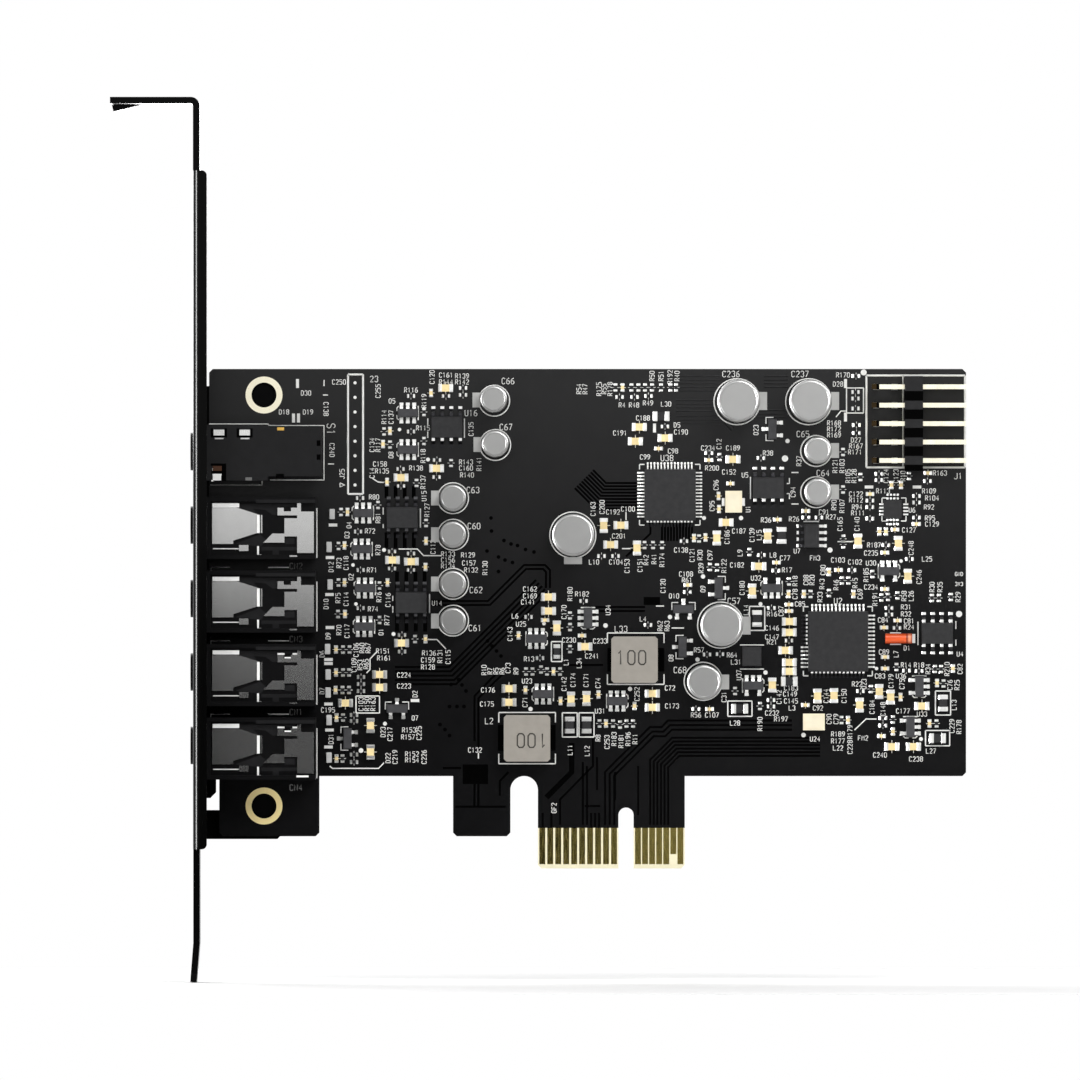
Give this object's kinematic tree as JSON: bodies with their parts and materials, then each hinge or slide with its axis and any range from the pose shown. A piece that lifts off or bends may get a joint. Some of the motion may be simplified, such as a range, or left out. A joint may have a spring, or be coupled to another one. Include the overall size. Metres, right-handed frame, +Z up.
{
  "type": "sound card",
  "caption": "Sound card for a computer's expansion slot: a black circuit board with audio jacks, capacitor cans and chips, held by a folded black steel bracket with a screw tab.",
  "frame": {"origin": "middle of the key notch at the tips of the edge contacts, halfway through the board's thickness", "axes": "+Z up, from the edge contacts towards the top of the board; +X along the board, away from the bracket; the component face looks along -Y"},
  "size_m": [0.1179, 0.0201, 0.1217],
  "materials": {
    "board": "black solder mask on glass-fibre board",
    "gilt": "gold-plated copper, satin",
    "black_steel": "black satin coat on folded steel",
    "black_screw": "blackened steel",
    "jack_plastic": "black moulded plastic",
    "jack_contact": "stamped spring metal",
    "tinned_metal": "tin plate",
    "can": "bare drawn aluminium with a flat top",
    "header_plastic": "black moulded plastic",
    "gilt_pin": "pale gold plate",
    "chip_moulding": "black moulding compound",
    "ferrite": "warm grey ferrite",
    "cream_ceramic": "cream ceramic with a metal lid",
    "red_glass": "orange-red glass"
  },
  "bodies": {
    "root": {"amplifier_chip_1": "chip_moulding", "amplifier_chip_2": "chip_moulding", "amplifier_chip_3": "chip_moulding", "amplifier_chip_4": "chip_moulding", "amplifier_chip_5": "chip_moulding", "amplifier_chip_leads": "tinned_metal", "audio_jack_front_contact_1": "jack_contact", "audio_jack_front_contact_2": "jack_contact", "audio_jack_front_contact_3": "jack_contact", "audio_jack_front_contact_4": "jack_contact", "audio_jack_housing_1": "jack_plastic", "audio_jack_housing_2": "jack_plastic", "audio_jack_housing_3": "jack_plastic", "audio_jack_housing_4": "jack_plastic", "audio_jack_rear_contact_1": "jack_contact", "audio_jack_rear_contact_2": "jack_contact", "audio_jack_rear_contact_3": "jack_contact", "audio_jack_rear_contact_4": "jack_contact", "bracket": "black_steel", "bracket_screws": "black_screw", "capacitor_1": "can", "capacitor_10": "can", "capacitor_11": "can", "capacitor_12": "can", "capacitor_13": "can", "capacitor_2": "can", "capacitor_3": "can", "capacitor_4": "can", "capacitor_5": "can", "capacitor_6": "can", "capacitor_7": "can", "capacitor_8": "can", "capacitor_9": "can", "choke": "chip_moulding", "circuit_board": "board", "controller_chip_body": "chip_moulding", "controller_chip_leads": "tinned_metal", "converter_chip_body": "chip_moulding", "converter_chip_leads": "tinned_metal", "diode": "red_glass", "edge_contacts": "gilt", "headphone_jack_clips": "tinned_metal", "headphone_jack_housing": "jack_plastic", "inductor_1": "ferrite", "inductor_2": "ferrite", "inductor_terminals": "tinned_metal", "oscillator_1": "cream_ceramic", "oscillator_2": "cream_ceramic", "pin_header_body": "header_plastic", "pin_header_pins": "gilt_pin", "regulator_chip": "chip_moulding", "regulator_chip_leads": "tinned_metal", "switch_chip": "chip_moulding"}
  },
  "joints": []
}
